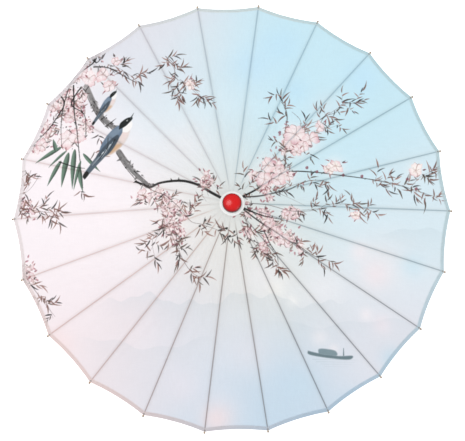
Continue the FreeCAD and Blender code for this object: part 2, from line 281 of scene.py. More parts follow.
class Picture:
    """A painting in plan view, in millimetres from the shaft, +y away from the viewer."""

    def __init__(self, half_width, pitch, seed):
        self.half = half_width
        self.pitch = pitch
        self.cells = int(2 * half_width / pitch)
        self.paint = np.ones((self.cells, self.cells, 3), np.float32)
        self.random = np.random.default_rng(seed)

    def window(self, low, high):
        """The cells between two corners: their slices, and their x and y."""
        first = np.clip(((np.array(low) + self.half) / self.pitch).astype(int), 0, self.cells - 1)
        last = np.clip(((np.array(high) + self.half) / self.pitch).astype(int) + 1, 1, self.cells)
        x = (np.arange(first[0], last[0]) + 0.5) * self.pitch - self.half
        y = (np.arange(first[1], last[1]) + 0.5) * self.pitch - self.half
        return (slice(first[1], last[1]), slice(first[0], last[0])), *np.meshgrid(x, y)

    def lay(self, where, colour, cover):
        cover = np.clip(cover, 0, 1)[..., None].astype(np.float32)
        self.paint[where] = self.paint[where] * (1 - cover) + colour * cover

    def wash(self):
        where, x, y = self.window((-self.half, -self.half), (self.half, self.half))
        total = np.zeros_like(x)
        colour = np.zeros((*x.shape, 3))
        for tone, *places in WASH:
            for cx, cy in places:
                weight = np.exp(-((x - cx) ** 2 + (y - cy) ** 2) / (2 * WASH_SPREAD ** 2)) + 1e-9
                total += weight
                colour += weight[..., None] * rgb(tone)
        self.paint[where] = colour / total[..., None]

    def ridge(self, x0, x1, height, depth, strength, waves, tone="A9BBC4"):
        """A misty hill: dark along its crest and fading downwards."""
        where, x, y = self.window((x0, height - 4 * depth), (x1, height + 3 * depth))
        crest = height + sum(size * np.sin(x / length + shift) for size, length, shift in waves)
        under = (crest - y) / depth
        ends = np.clip((x - x0) / 60, 0, 1) * np.clip((x1 - x) / 60, 0, 1)
        cover = strength * ends * np.exp(-np.maximum(under, 0)) * np.clip(under * depth / 2 + 0.5, 0, 1)
        self.lay(where, rgb(tone), cover)

    def stroke(self, points, start_width, end_width, tone, strength=1.0, soft=0.9):
        """A brush line through the points, with its width running from start to end."""
        line = smooth_line(points)
        reach = max(start_width, end_width) / 2 + soft
        where, x, y = self.window(line.min(0) - reach, line.max(0) + reach)
        widths = np.linspace(start_width, end_width, len(line))
        cover = np.zeros_like(x)
        for (ax, ay), (bx, by), wa, wb in zip(line, line[1:], widths, widths[1:]):
            dx, dy = bx - ax, by - ay
            t = np.clip(((x - ax) * dx + (y - ay) * dy) / max(dx * dx + dy * dy, 1e-6), 0, 1)
            distance = np.hypot(x - ax - t * dx, y - ay - t * dy)
            cover = np.maximum(cover, (wa + (wb - wa) * t) / 2 - distance)
            cover = np.maximum(cover, 0)
        self.lay(where, rgb(tone), strength * np.clip(cover / soft, 0, 1))

    def patch(self, points, tone, strength=1.0, soft=1.2):
        """A filled shape with a smooth outline through the points."""
        line = smooth_line(list(points) + [points[0]], 6)
        where, x, y = self.window(line.min(0) - soft, line.max(0) + soft)
        inside = np.zeros(x.shape, bool)
        nearest = np.full(x.shape, 1e9)
        for (ax, ay), (bx, by) in zip(line, line[1:]):
            dx, dy = bx - ax, by - ay
            t = np.clip(((x - ax) * dx + (y - ay) * dy) / max(dx * dx + dy * dy, 1e-6), 0, 1)
            nearest = np.minimum(nearest, np.hypot(x - ax - t * dx, y - ay - t * dy))
            crosses = (ay > y) != (by > y)
            inside ^= crosses & (x < ax + (y - ay) * dx / (dy if abs(dy) > 1e-9 else 1e-9))
        signed = np.where(inside, nearest, -nearest)
        self.lay(where, rgb(tone), strength * np.clip(signed / soft + 0.5, 0, 1))

    def leaf(self, x0, y0, angle, length, width, tone, bend=0.2, strength=0.9):
        """A slender leaf that starts at a point, runs along an angle in degrees and curls to one side."""
        reach = length * (1 + abs(bend))
        where, x, y = self.window((x0 - reach, y0 - reach), (x0 + reach, y0 + reach))
        turn = math.radians(angle)
        u = ((x - x0) * math.cos(turn) + (y - y0) * math.sin(turn)) / length
        along = np.clip(u, 0, 1)
        v = (y - y0) * math.cos(turn) - (x - x0) * math.sin(turn) - bend * length * along ** 2
        half = 1.5 * width * along ** 0.6 * (1 - along) ** 1.1
        cover = np.where((u > 0) & (u < 1), np.clip((half - np.abs(v)) / 0.6 + 0.5, 0, 1), 0)
        self.lay(where, rgb(tone), strength * cover)
        self.lay(where, rgb(tone) * 0.4, 0.75 * strength * cover * np.clip(v / (half + 0.2) + 0.2, 0, 1))

    def petal(self, x0, y0, angle, length, width, rim, heart, strength):
        """A rounded, slightly frilled petal with a flushed rim, faint veins and a fine outline."""
        reach = 1.1 * length
        where, x, y = self.window((x0 - reach, y0 - reach), (x0 + reach, y0 + reach))
        u = ((x - x0) * math.cos(angle) + (y - y0) * math.sin(angle)) / length
        v = ((y - y0) * math.cos(angle) - (x - x0) * math.sin(angle)) / (width / 2)
        frill = 0.4 * (1 + 0.2 * np.sin(5 * v + self.random.uniform(0, 6)))
        rounded = np.sqrt(np.clip(1 - ((u - 0.6) / frill) ** 2, 0, 1))
        half = np.where(u < 0.6, np.clip(u / 0.6, 0, 1) ** 0.7, rounded)
        gap = (half - np.abs(v)) * width / 2
        inside = np.clip(gap / 0.7 + 0.5, 0, 1) * (u > 0)
        flush = np.clip((u - 0.3) / 0.7, 0, 1) ** 1.4 * self.random.uniform(0.1, 0.9)
        flush += 0.14 * np.clip(np.sin(13 * v), 0, 1) * np.clip(u, 0, 1)
        flush = np.clip(flush, 0, 1)[..., None]
        self.lay(where, rgb(heart) * (1 - flush) + rgb(rim) * flush, strength * inside)
        heavier_side = np.clip(0.6 + 0.6 * v * self.random.choice((-1, 1)), 0.15, 1)
        outline = np.clip(1 - np.abs(gap - 0.5) / 1.3, 0, 1) * heavier_side
        tone = OUTLINES[self.random.integers(len(OUTLINES))]
        self.lay(where, rgb(tone), 0.75 * strength * inside * outline)

    def glow(self, x0, y0, radius, tone="FFF6F4", strength=0.5):
        """A soft pale spot of wash behind a flower."""
        where, x, y = self.window((x0 - 2 * radius, y0 - 2 * radius), (x0 + 2 * radius, y0 + 2 * radius))
        self.lay(where, rgb(tone), strength * np.exp(-2 * ((x - x0) ** 2 + (y - y0) ** 2) / radius ** 2))

    def blossom(self, x0, y0, radius, rim=ROSE, heart=PALE_PETAL, petals=5, strength=0.92):
        """A flower seen a little from the side. With three petals it is half open."""
        turn, lie = self.random.uniform(0, 2 * math.pi, 2)
        flat = self.random.uniform(0.55, 1.0)
        self.glow(x0, y0, 1.35 * radius)
        for k in self.random.permutation(petals):
            spoke = turn + 2 * math.pi * (k + self.random.uniform(-0.16, 0.16)) / 5
            along, beside = math.cos(spoke - lie), flat * math.sin(spoke - lie)
            length = radius * math.hypot(along, beside) * self.random.uniform(0.8, 1.15)
            width = radius * math.hypot(beside / flat, flat * along) * self.random.uniform(0.85, 1.2)
            tone = rim if self.random.random() < 0.75 else "BF7A8A"
            self.petal(x0, y0, lie + math.atan2(beside, along), length, width, tone, heart, strength)
        for k in range(16):
            spoke = turn + 2 * math.pi * (k + self.random.uniform(-0.3, 0.3)) / 16
            near, far = radius * self.random.uniform(0.0, 0.15), radius * self.random.uniform(0.25, 0.62)
            start = (x0 + near * math.cos(spoke), y0 + flat * near * math.sin(spoke))
            end = (x0 + far * math.cos(spoke), y0 + flat * far * math.sin(spoke))
            self.stroke((start, end), 0.9, 0.5, "8C5A4E", 0.6, 0.7)
            if k % 2:
                self.stroke((end, (end[0] + 0.1, end[1])), 1.1, 1.1, "5F3A33", 0.9, 0.6)
        for spoke in self.random.uniform(0, 360, 3):
            along, beside = math.cos(math.radians(spoke)), math.sin(math.radians(spoke))
            tone = ("5C4643", "3A3132", "A0585F")[self.random.integers(3)]
            lean = spoke + self.random.uniform(-60, 60)
            length = self.random.uniform(0.4, 0.8) * radius
            self.leaf(x0 + 0.85 * radius * along, y0 + 0.85 * radius * beside, lean, length, 2.0, tone, 0.3)

    def bud(self, x0, y0, radius, tone=DARK_ROSE):
        self.stroke(((x0, y0), (x0 + 0.3 * radius, y0 + 0.5 * radius)), 2 * radius, 1.4 * radius, tone, 0.85)
        self.stroke(((x0 - 0.3 * radius, y0), (x0, y0 + 0.3 * radius)), 0.5 * radius, 0.3 * radius, PETAL, 0.5)

    def sprig(self, x0, y0, angle, size, leaves=5):
        """A short curved stem with slender curling leaves along it, and sometimes a bud."""
        stem = self.random.uniform(0.45, 0.75) * size
        curl = self.random.uniform(-30, 30)
        half, whole = math.radians(angle + 0.3 * curl), math.radians(angle + curl)
        middle = (x0 + 0.5 * stem * math.cos(half), y0 + 0.5 * stem * math.sin(half))
        end = (middle[0] + 0.5 * stem * math.cos(whole), middle[1] + 0.5 * stem * math.sin(whole))
        self.stroke(((x0, y0), middle, end), 1.1, 0.7, TWIG, 0.9)
        line = smooth_line(((x0, y0), middle, end))
        for k in range(leaves):
            share = k / max(leaves - 1, 1)
            at = line[int(share * (len(line) - 1))]
            side = 1 if k % 2 else -1
            lean = angle + curl * share + side * (62 - 50 * share) * self.random.uniform(0.5, 1.3)
            length = size * self.random.uniform(0.32, 0.78)
            bend = side * self.random.uniform(0.12, 0.45) * self.random.choice((1, 1, -1))
            width = (0.055 * length + 1.5) * self.random.uniform(0.75, 1.2)
            self.leaf(at[0], at[1], lean, length, width, LEAVES[self.random.integers(len(LEAVES))], bend, 0.85)
        if self.random.random() < 0.4:
            self.bud(end[0], end[1], self.random.uniform(0.9, 1.6), DARK_ROSE)

    def bough(self, points, start_width, end_width, tone=INK, knots=6):
        """A branch with knots and short thorns along it."""
        self.stroke(points, start_width, end_width, tone)
        line = smooth_line(points)
        for k in range(knots):
            place = self.random.integers(1, len(line) - 1)
            x, y = line[place]
            size = 0.6 * (start_width + (end_width - start_width) * place / len(line)) + 0.8
            turn = self.random.uniform(0, 2 * math.pi)
            tip = (x + 1.8 * size * math.cos(turn), y + 1.8 * size * math.sin(turn))
            self.stroke(((x, y), tip), 1.2 * size, 0.4, tone)

    def gnarl(self, points, width, count):
        """Bumps, hollows and pale scars along the sides of a thick branch."""
        line = smooth_line(points)
        for _ in range(count):
            place = self.random.integers(1, len(line) - 1)
            along = line[place + 1] - line[place - 1]
            along = along / np.hypot(*along)
            beside = np.array((-along[1], along[0])) * self.random.choice((-1, 1))
            beside = beside * self.random.uniform(0.1, 0.62) * width
            start = line[place] + beside
            end = start + along * self.random.uniform(0.2, 0.9) * width + beside * self.random.uniform(-0.1, 0.5)
            tone = (GREY_BARK, "5E5A5B", BARK, INK, "A9A6A6")[self.random.integers(5)]
            self.stroke((start, end), self.random.uniform(0.14, 0.38) * width, 0.08 * width, tone, 0.9)

    def spray(self, points, blossoms, sprigs, buds, spread, size):
        """Blossoms, sprigs and buds scattered along a line."""
        line = smooth_line(points)
        for _ in range(sprigs):
            x, y = line[self.random.integers(0, len(line))] + self.random.normal(0, spread / 2, 2)
            self.sprig(x, y, self.random.uniform(0, 360), size * self.random.uniform(1.2, 2.1))
        for _ in range(blossoms):
            x, y = line[self.random.integers(0, len(line))] + self.random.normal(0, spread, 2)
            rim = ROSE if self.random.random() < 0.5 else "DEB7BB"
            petals = 5 if self.random.random() < 0.6 else 3
            self.blossom(x, y, size * self.random.uniform(0.6, 1.1), rim, PETAL, petals, 0.88)
            for _ in range(3):
                side = self.random.normal(0, size, 2)
                tone = ("B96F7C", "D2959C", "94505C")[self.random.integers(3)]
                self.leaf(x + side[0], y + side[1], self.random.uniform(0, 360), 7, 3.2, tone, 0.2, 0.7)
        for _ in range(buds):
            x, y = line[self.random.integers(0, len(line))] + self.random.normal(0, spread, 2)
            self.bud(x, y, self.random.uniform(0.8, 1.9), DARK_ROSE if self.random.random() < 0.5 else INK)

    def leafy_twig(self, points, width, sprigs, size):
        """A thin twig with sprigs at intervals on alternate sides."""
        self.stroke(points, width, 0.8, TWIG)
        line = smooth_line(points)
        for k in range(sprigs):
            place = int((k + self.random.uniform(0.2, 0.8)) / sprigs * (len(line) - 2))
            along = line[place + 1] - line[place]
            lean = math.degrees(math.atan2(along[1], along[0])) + (1 if k % 2 else -1) * self.random.uniform(25, 75)
            self.sprig(line[place][0], line[place][1], lean, size * self.random.uniform(0.8, 1.25))

    def colours_at(self, x, y):
        """Linear colours at points given in metres, between the four nearest cells."""
        u = np.clip((x * 1000 + self.half) / self.pitch - 0.5, 0, self.cells - 1.001)
        v = np.clip((y * 1000 + self.half) / self.pitch - 0.5, 0, self.cells - 1.001)
        i, j = u.astype(int), v.astype(int)
        fu, fv = (u - i)[:, None], (v - j)[:, None]
        low = self.paint[j, i] * (1 - fu) + self.paint[j, i + 1] * fu
        high = self.paint[j + 1, i] * (1 - fu) + self.paint[j + 1, i + 1] * fu
        return to_linear(low * (1 - fv) + high * fv)


def paint_bird(picture, x0, y0, angle, size):
    """A small songbird in profile. Its own frame runs from the tail's root at 0 to the bill at 1."""
    turn = math.radians(angle)
    cos, sin = math.cos(turn), math.sin(turn)

    def at(*points):
        return [(x0 + size * (u * cos - v * sin), y0 + size * (u * sin + v * cos)) for u, v in points]

    picture.patch(at((-0.66, 0.02), (-0.62, 0.1), (-0.1, 0.13), (0.15, 0.06), (0.0, -0.02), (-0.3, 0.0)), "56636F")
    picture.patch(at((-0.68, 0.02), (-0.64, 0.1), (-0.52, 0.1), (-0.54, 0.02)), INK)
    belly = at((-0.12, 0.03), (0.06, -0.1), (0.34, -0.17), (0.62, -0.13), (0.76, 0.0), (0.6, 0.14), (0.2, 0.12))
    picture.patch(belly, "E2D6D2", 0.95, 3)
    picture.patch(at((-0.02, 0.0), (0.1, -0.1), (0.34, -0.15), (0.3, -0.05), (0.12, 0.02)), "C9A07A", 0.8, 5)
    picture.patch(at((0.4, -0.12), (0.56, -0.12), (0.68, -0.04), (0.6, 0.02), (0.46, -0.02)), "EBD9D6", 0.8, 4)
    back = at((-0.14, 0.07), (0.12, -0.02), (0.5, 0.0), (0.68, 0.08), (0.62, 0.19), (0.35, 0.23), (0.05, 0.19))
    picture.patch(back, "64768B")
    picture.patch(at((0.2, 0.12), (0.5, 0.06), (0.66, 0.1), (0.5, 0.2), (0.3, 0.22)), "8496A8", 0.7, 5)
    wing = at((-0.24, 0.06), (0.06, -0.05), (0.4, -0.02), (0.46, 0.07), (0.18, 0.13), (-0.12, 0.14))
    picture.patch(wing, "424E5A", 1, 2)
    for k in range(8):
        start, end = (0.36 - 0.07 * k, 0.04 + 0.006 * k), (0.04 - 0.08 * k, -0.02 + 0.02 * k)
        picture.stroke(at(start, end), 0.028 * size, 0.014 * size, ("1B2025", "8695A3", "EEF2F4")[k % 3], 0.9)
    picture.stroke(at((0.3, 0.18), (0.08, 0.02)), 0.03 * size, 0.02 * size, "2B3035", 0.8)
    cheek = at((0.58, 0.02), (0.64, -0.07), (0.78, -0.07), (0.87, 0.0), (0.84, 0.07), (0.68, 0.08))
    picture.patch(cheek, "F7F5F4", 1, 2)
    picture.patch(at((0.58, 0.11), (0.72, 0.05), (0.9, 0.03), (0.95, 0.06), (0.87, 0.14), (0.7, 0.18)), "0F1617")
    picture.stroke(at((0.92, 0.07), (1.05, 0.09)), 0.045 * size, 0.01 * size, "3A4142")
    picture.stroke(at((0.83, 0.1), (0.84, 0.1)), 0.035 * size, 0.035 * size, "DFE3E0")
    picture.stroke(at((0.83, 0.1), (0.84, 0.1)), 0.016 * size, 0.016 * size, INK)


def paint_boat(picture, x0, y0, length):
    """A low boat with a cabin and someone standing at the stern, and its faint reflection."""
    hull = ((-0.5, 0.03), (-0.46, -0.05), (0.0, -0.07), (0.42, -0.05), (0.5, 0.04), (0.2, 0.0), (-0.2, 0.0))
    cabin = ((-0.26, 0.0), (-0.25, 0.1), (-0.05, 0.12), (0.12, 0.1), (0.13, 0.0))
    picture.patch([(x0 + length * u, y0 + length * (v - 0.1 * u)) for u, v in hull], "5C7178", 0.9, 2)
    picture.patch([(x0 + length * u, y0 + length * (v - 0.1 * u)) for u, v in cabin], "6C838B", 0.85, 2)
    person = x0 + 0.3 * length
    picture.stroke(((person, y0), (person, y0 + 0.15 * length)), 3.2, 2.0, "64777E", 0.9)
    for k in range(4):
        y = y0 - (0.1 + 0.05 * k) * length
        left, right = x0 - 0.4 * length + 8 * k, x0 + 0.6 * length - 5 * k
        picture.stroke(((left, y), (right, y)), 1.4, 1.0, "8FA4AB", 0.5 - 0.1 * k)


def paint_clouds(picture):
    """Soft patches of light and of deeper sky in the wash."""
    for x, y, radius, tone in ((290, -95, 75, PEARL), (175, -150, 60, PEARL), (-330, -20, 90, BLUSH),
                               (-90, 120, 70, PEARL), (95, 330, 60, DEEP_SKY), (250, 270, 50, DEEP_SKY),
                               (-200, -210, 80, ROSE_MIST), (30, -270, 60, LILAC_MIST), (110, -330, 50, WATER),
                               (330, 60, 60, PALE_SKY), (-250, 20, 60, BLUSH), (60, -130, 60, PEARL),
                               (-60, 330, 60, PALE_SKY), (180, 200, 45, PALE_SKY), (-20, -380, 60, LILAC_MIST),
                               (270, -120, 42, "F3E3E7"), (240, -80, 26, "F1E8EC"), (282, -214, 26, "F2E6EC"),
                               (252, -196, 18, "F4EDF0"), (84, -152, 26, "F4F4F1"), (112, -176, 16, "F6F5F3"),
                               (165, -240, 22, "F4EFF2"), (190, -262, 16, "F3EDF1"), (-30, -392, 40, "F4DCDC"),
                               (228, -366, 36, "B7D7EA"), (300, -276, 30, "C0DCEC"), (132, -330, 42, "C6DBE9"),
                               (342, -100, 34, "CBE5F1"), (40, 286, 60, "C3E4F8"), (120, 236, 40, "BFE3F6"),
                               (-330, -250, 46, "F6E0E0"), (-300, -80, 50, "F8EFF3"), (-96, -330, 46, "E6E2EB")):
        picture.glow(x, y, radius, tone, 0.6)


def paint_hills(picture):
    picture.ridge(-260, 230, -172, 55, 0.16, ((9, 34, 0.4), (5, 13, 1.0), (3, 6, 2.0)))
    picture.ridge(-300, -20, -250, 60, 0.10, ((11, 40, 2.0), (4, 12, 0.3)))
    picture.ridge(60, 400, -212, 45, 0.10, ((8, 42, 1.0), (4, 15, 0.0)))
    picture.ridge(250, 440, -34, 34, 0.14, ((6, 26, 0.2), (3, 10, 1.3)))


def paint_old_branch(picture):
    """The branch that runs in from the upper left to the cap, with its broken trunk."""
    picture.bough(((-215, 113), (-201, 92), (-191, 77), (-177, 62), (-154, 40)), 12, 8, GREY_BARK, 8)
    picture.stroke(((-219, 110), (-206, 88), (-193, 70), (-172, 44)), 2.5, 2, BARK, 0.8)
    picture.stroke(((-211, 108), (-197, 88), (-184, 68), (-164, 46)), 2, 2, "9C9A9A", 0.6)
    picture.bough(((-281, 252), (-268, 222), (-256, 196), (-241, 176), (-226, 162)), 11, 9, GREY_BARK, 8)
    picture.stroke(((-285, 246), (-273, 218), (-259, 190), (-244, 170)), 2.5, 2.5, BARK, 0.8)
    picture.stroke(((-277, 250), (-264, 222), (-252, 196), (-236, 176)), 2, 2, "9C9A9A", 0.6)
    picture.gnarl(((-215, 113), (-201, 92), (-191, 77), (-177, 62), (-154, 40)), 11, 46)
    picture.gnarl(((-281, 252), (-268, 222), (-256, 196), (-241, 176), (-226, 162)), 11, 46)
    for x, y in ((-246, 184), (-236, 170), (-228, 176)):
        picture.stroke(((x - 4, y - 3), (x + 7, y + 6)), 3, 1, INK)
    towards_cap = ((-182, 52), (-167, 45), (-154, 39), (-138, 46), (-116, 49), (-90, 48), (-62, 38), (-38, 22), (-20, 11))
    picture.bough(towards_cap, 4.5, 6, INK, 12)
    picture.gnarl(((-182, 52), (-154, 39), (-116, 49), (-90, 48), (-62, 38), (-38, 22), (-20, 11)), 5, 40)
    picture.bough(((-168, 45), (-172, 32), (-164, 20)), 3, 1, GREY_BARK, 2)
    picture.sprig(-50, 30, 100, 26, 6)
    picture.blossom(-48, 46, 13, ROSE, PETAL)
    picture.sprig(-36, 40, 60, 18)
    picture.stroke(((-52, 32), (-56, 20), (-48, 6)), 1.6, 0.8, BARK)
    picture.stroke(((-48, 30), (-44, 16)), 1.4, 0.8, BARK)


def paint_left_blossoms(picture):
    """The crowded blossoms, black twigs and bamboo leaves at the upper left of the edge."""
    twigs = (
        ((-262, 318), (-268, 300), (-307, 268), (-323, 218), (-328, 175), (-326, 131)),
        ((-306, 255), (-303, 199), (-297, 161), (-291, 111), (-283, 46)),
        ((-340, 245), (-323, 218), (-344, 179), (-367, 152), (-399, 122)),
        ((-291, 251), (-309, 216), (-283, 192), (-279, 147)),
        ((-267, 291), (-238, 288), (-209, 270), (-182, 253)),
        ((-283, 299), (-300, 285), (-330, 250), (-345, 232)),
        ((-272, 318), (-262, 300), (-250, 316)),
    )
    picture.spray(twigs[0], 12, 6, 20, 13, 13)
    picture.spray(twigs[2], 9, 6, 16, 9, 12)
    picture.spray(twigs[1][:3], 9, 5, 20, 12, 12)
    picture.spray(twigs[3], 6, 4, 14, 12, 11)
    picture.leafy_twig(((-240, 296), (-214, 284), (-186, 262)), 1.6, 4, 26)
    for twig in twigs:
        picture.bough(twig, 3.2, 1.2, INK, 10)
    for x, y, radius in ((-276, 268, 21), (-250, 274, 17), (-236, 250, 14), (-314, 146, 20), (-295, 150, 16),
                         (-344, 214, 12), (-366, 136, 13), (-290, 284, 13), (-225, 302, 11), (-310, 188, 14)):
        picture.blossom(x, y, radius, ROSE, PETAL)
    for twig in twigs[:5]:
        picture.bough(twig, 2.8, 1.3, INK, 12)
    picture.stroke(((-282, 304), (-276, 322), (-268, 304), (-262, 322), (-256, 304)), 3, 2, INK)
    for x, y, angle in ((-212, 290, 60), (-180, 272, 20), (-190, 262, -30), (-262, 116, -40), (-255, 150, -80)):
        picture.sprig(x, y, angle, 28, 6)
    for x, y, angle, length, width in ((-326, 102, -122, 56, 8), (-312, 118, -104, 70, 11), (-300, 124, -96, 80, 10),
                                       (-292, 92, -84, 56, 9), (-326, 130, -152, 60, 8), (-284, 114, -52, 52, 7),
                                       (-337, 122, 100, 26, 8), (-316, 122, -140, 48, 5), (-288, 100, -106, 60, 6)):
        picture.leaf(x, y, angle, length, width, BAMBOO_LEAF, 0.06, 0.95)
    picture.stroke(((-330, 100), (-300, 88), (-280, 84)), 3, 1.5, INK)
    picture.sprig(-288, 40, -60, 26, 6)


def paint_edge_sprigs(picture):
    """The sprigs along the left of the edge and the loose one at the top."""
    for points in (((-385, 86), (-392, 66), (-405, 48)), ((-408, 26), (-380, 12), (-356, 2), (-336, 2)),
                   ((-368, 76), (-384, 52), (-402, 38)), ((-380, 12), (-362, 18), (-356, 32))):
        picture.stroke(points, 1.4, 1.0, TWIG)
    picture.spray(((-404, 34), (-392, 10), (-378, 2)), 4, 5, 5, 5, 9)
    picture.leafy_twig(((-396, 88), (-386, 64), (-398, 40)), 1.3, 4, 28)
    picture.leafy_twig(((-408, 16), (-380, 8), (-350, 2), (-330, -8)), 1.3, 5, 28)
    for x, y, angle in ((-360, 14, 60), (-340, 0, 20), (-346, -4, -70), (-334, 2, -30), (-398, 56, 80)):
        picture.sprig(x, y, angle, 26, 5)
    picture.stroke(((-410, -88), (-386, -127), (-360, -164), (-334, -197)), 1.8, 1.0, TWIG)
    picture.spray(((-404, -98), (-380, -136), (-352, -172)), 7, 9, 8, 6, 9)
    picture.leafy_twig(((-400, -100), (-378, -140), (-348, -176), (-338, -200)), 1.4, 5, 26)
    picture.stroke(((-128, 308), (-112, 290), (-108, 262), (-91, 250), (-74, 234), (-56, 212)), 1.8, 1.0, TWIG)
    for x, y, angle in ((-126, 304, 20), (-124, 300, -120), (-106, 280, 30), (-108, 262, -150), (-60, 220, -20),
                        (-66, 226, -90), (-74, 236, 60), (-104, 226, -100), (-100, 232, -60), (-94, 252, -10)):
        picture.sprig(x, y, angle, 28, 6)
    picture.stroke(((-92, 250), (-98, 234), (-104, 218)), 1.4, 0.8, TWIG)
    picture.leafy_twig(((-126, 306), (-112, 282), (-104, 256), (-100, 226)), 1.2, 5, 22)
    picture.leafy_twig(((-100, 258), (-80, 244), (-60, 222), (-50, 206)), 1.2, 4, 22)
    picture.blossom(-80, 246, 12, "E4C0C6", PALE_PETAL)


def paint_right_branches(picture):
    """The branches that run from the cap to the right and up to the upper right."""
    picture.bough(((18, 12), (55, 17), (84, 25), (107, 32), (124, 42), (147, 52), (172, 53)), 3.6, 1.0, BARK, 10)
    long_branch = ((16, 12), (38, 24), (59, 38), (75, 52), (97, 65), (121, 69), (159, 69), (199, 66), (245, 63),
                   (274, 60), (311, 54), (343, 47), (382, 36))
    picture.bough(long_branch, 4.2, 1.0, INK, 12)
    picture.bough(((97, 65), (101, 93), (100, 124), (101, 149), (105, 177), (101, 199), (92, 212)), 3.2, 1.2, BARK, 8)
    picture.bough(((101, 120), (118, 146), (130, 162), (128, 176), (114, 190)), 2.0, 1.2, TWIG, 3)
    upper_twig = ((130, 146), (150, 160), (165, 166), (178, 184), (199, 193), (210, 209), (238, 214))
    picture.bough(upper_twig, 2.4, 1.0, TWIG, 4)
    picture.stroke(((26, 1), (67, 0), (113, -9), (159, -4), (176, 6), (210, 11), (233, 7), (264, 0)), 1.8, 0.9, TWIG)
    picture.stroke(((84, 25), (112, 14), (138, 2)), 1.3, 0.8, TWIG)
    picture.spray(((100, 118), (118, 140), (148, 140)), 6, 8, 10, 10, 12)
    picture.leafy_twig(((100, 150), (104, 180), (94, 214), (86, 232)), 1.6, 4, 26)
    picture.leafy_twig(((130, 160), (168, 176), (200, 200), (226, 216), (246, 226)), 1.6, 6, 28)
    picture.leafy_twig(((150, 150), (190, 162), (206, 170)), 1.2, 3, 20)
    picture.leafy_twig(((98, 66), (96, 92), (104, 112)), 1.4, 4, 20)
    picture.leafy_twig(((260, 62), (300, 58), (340, 48), (392, 30)), 1.4, 6, 26)
    picture.leafy_twig(((340, 50), (362, 74), (394, 90)), 1.4, 4, 24)
    picture.leafy_twig(((84, 26), (112, 40), (146, 52), (178, 54)), 1.4, 5, 22)
    picture.leafy_twig(((120, -8), (170, 0), (220, 10), (268, -2)), 1.3, 7, 22)
    picture.spray(((30, 14), (52, 24), (84, 26)), 5, 5, 6, 7, 10)
    picture.spray(((60, 58), (84, 70), (66, 84)), 4, 4, 8, 9, 13)
    for x, y, radius in ((113, 124, 15), (121, 143, 22), (147, 134, 21), (134, 120, 13), (167, 162, 13), (68, 78, 19),
                         (61, 50, 17), (85, 50, 16), (90, 72, 12), (122, 108, 11)):
        picture.blossom(x, y, radius, ROSE, PETAL)
    for x, y, radius in ((196, 84, 17), (351, 84, 16), (182, 76, 11), (233, -10, 11)):
        picture.blossom(x, y, radius, "E2B2BC", PALE_PETAL)
    for x, y in ((90, 146), (90, 110), (141, 77), (116, 62), (351, 48), (334, 66), (246, 66), (160, 70), (210, 66)):
        picture.bud(x, y, 3.2)
    for x, y, angle, size in ((210, 214, 80, 40), (236, 214, 30, 26), (222, 204, -40, 26), (178, 186, 100, 34),
                              (141, 160, 110, 28), (196, 196, -10, 20), (84, 164, 150, 26), (86, 126, 170, 22),
                              (100, 196, 60, 24), (176, 162, -30, 20), (272, 62, 70, 32), (284, 58, -70, 34),
                              (304, 56, 60, 30), (376, 78, 70, 32), (390, 82, -10, 26), (366, 78, -30, 24),
                              (366, 42, -70, 38), (384, 36, -30, 26), (182, 52, -80, 28), (150, 50, -40, 24),
                              (24, 52, 110, 30), (32, 34, 60, 26), (20, 28, 150, 22), (146, 108, -60, 26),
                              (228, 10, 85, 32), (262, 0, -30, 24), (240, 2, -80, 24), (176, -2, -70, 26),
                              (176, 8, 60, 22), (150, 8, 40, 24), (206, 12, 100, 20), (254, 4, 40, 22)):
        picture.sprig(x, y, angle, size, 4)


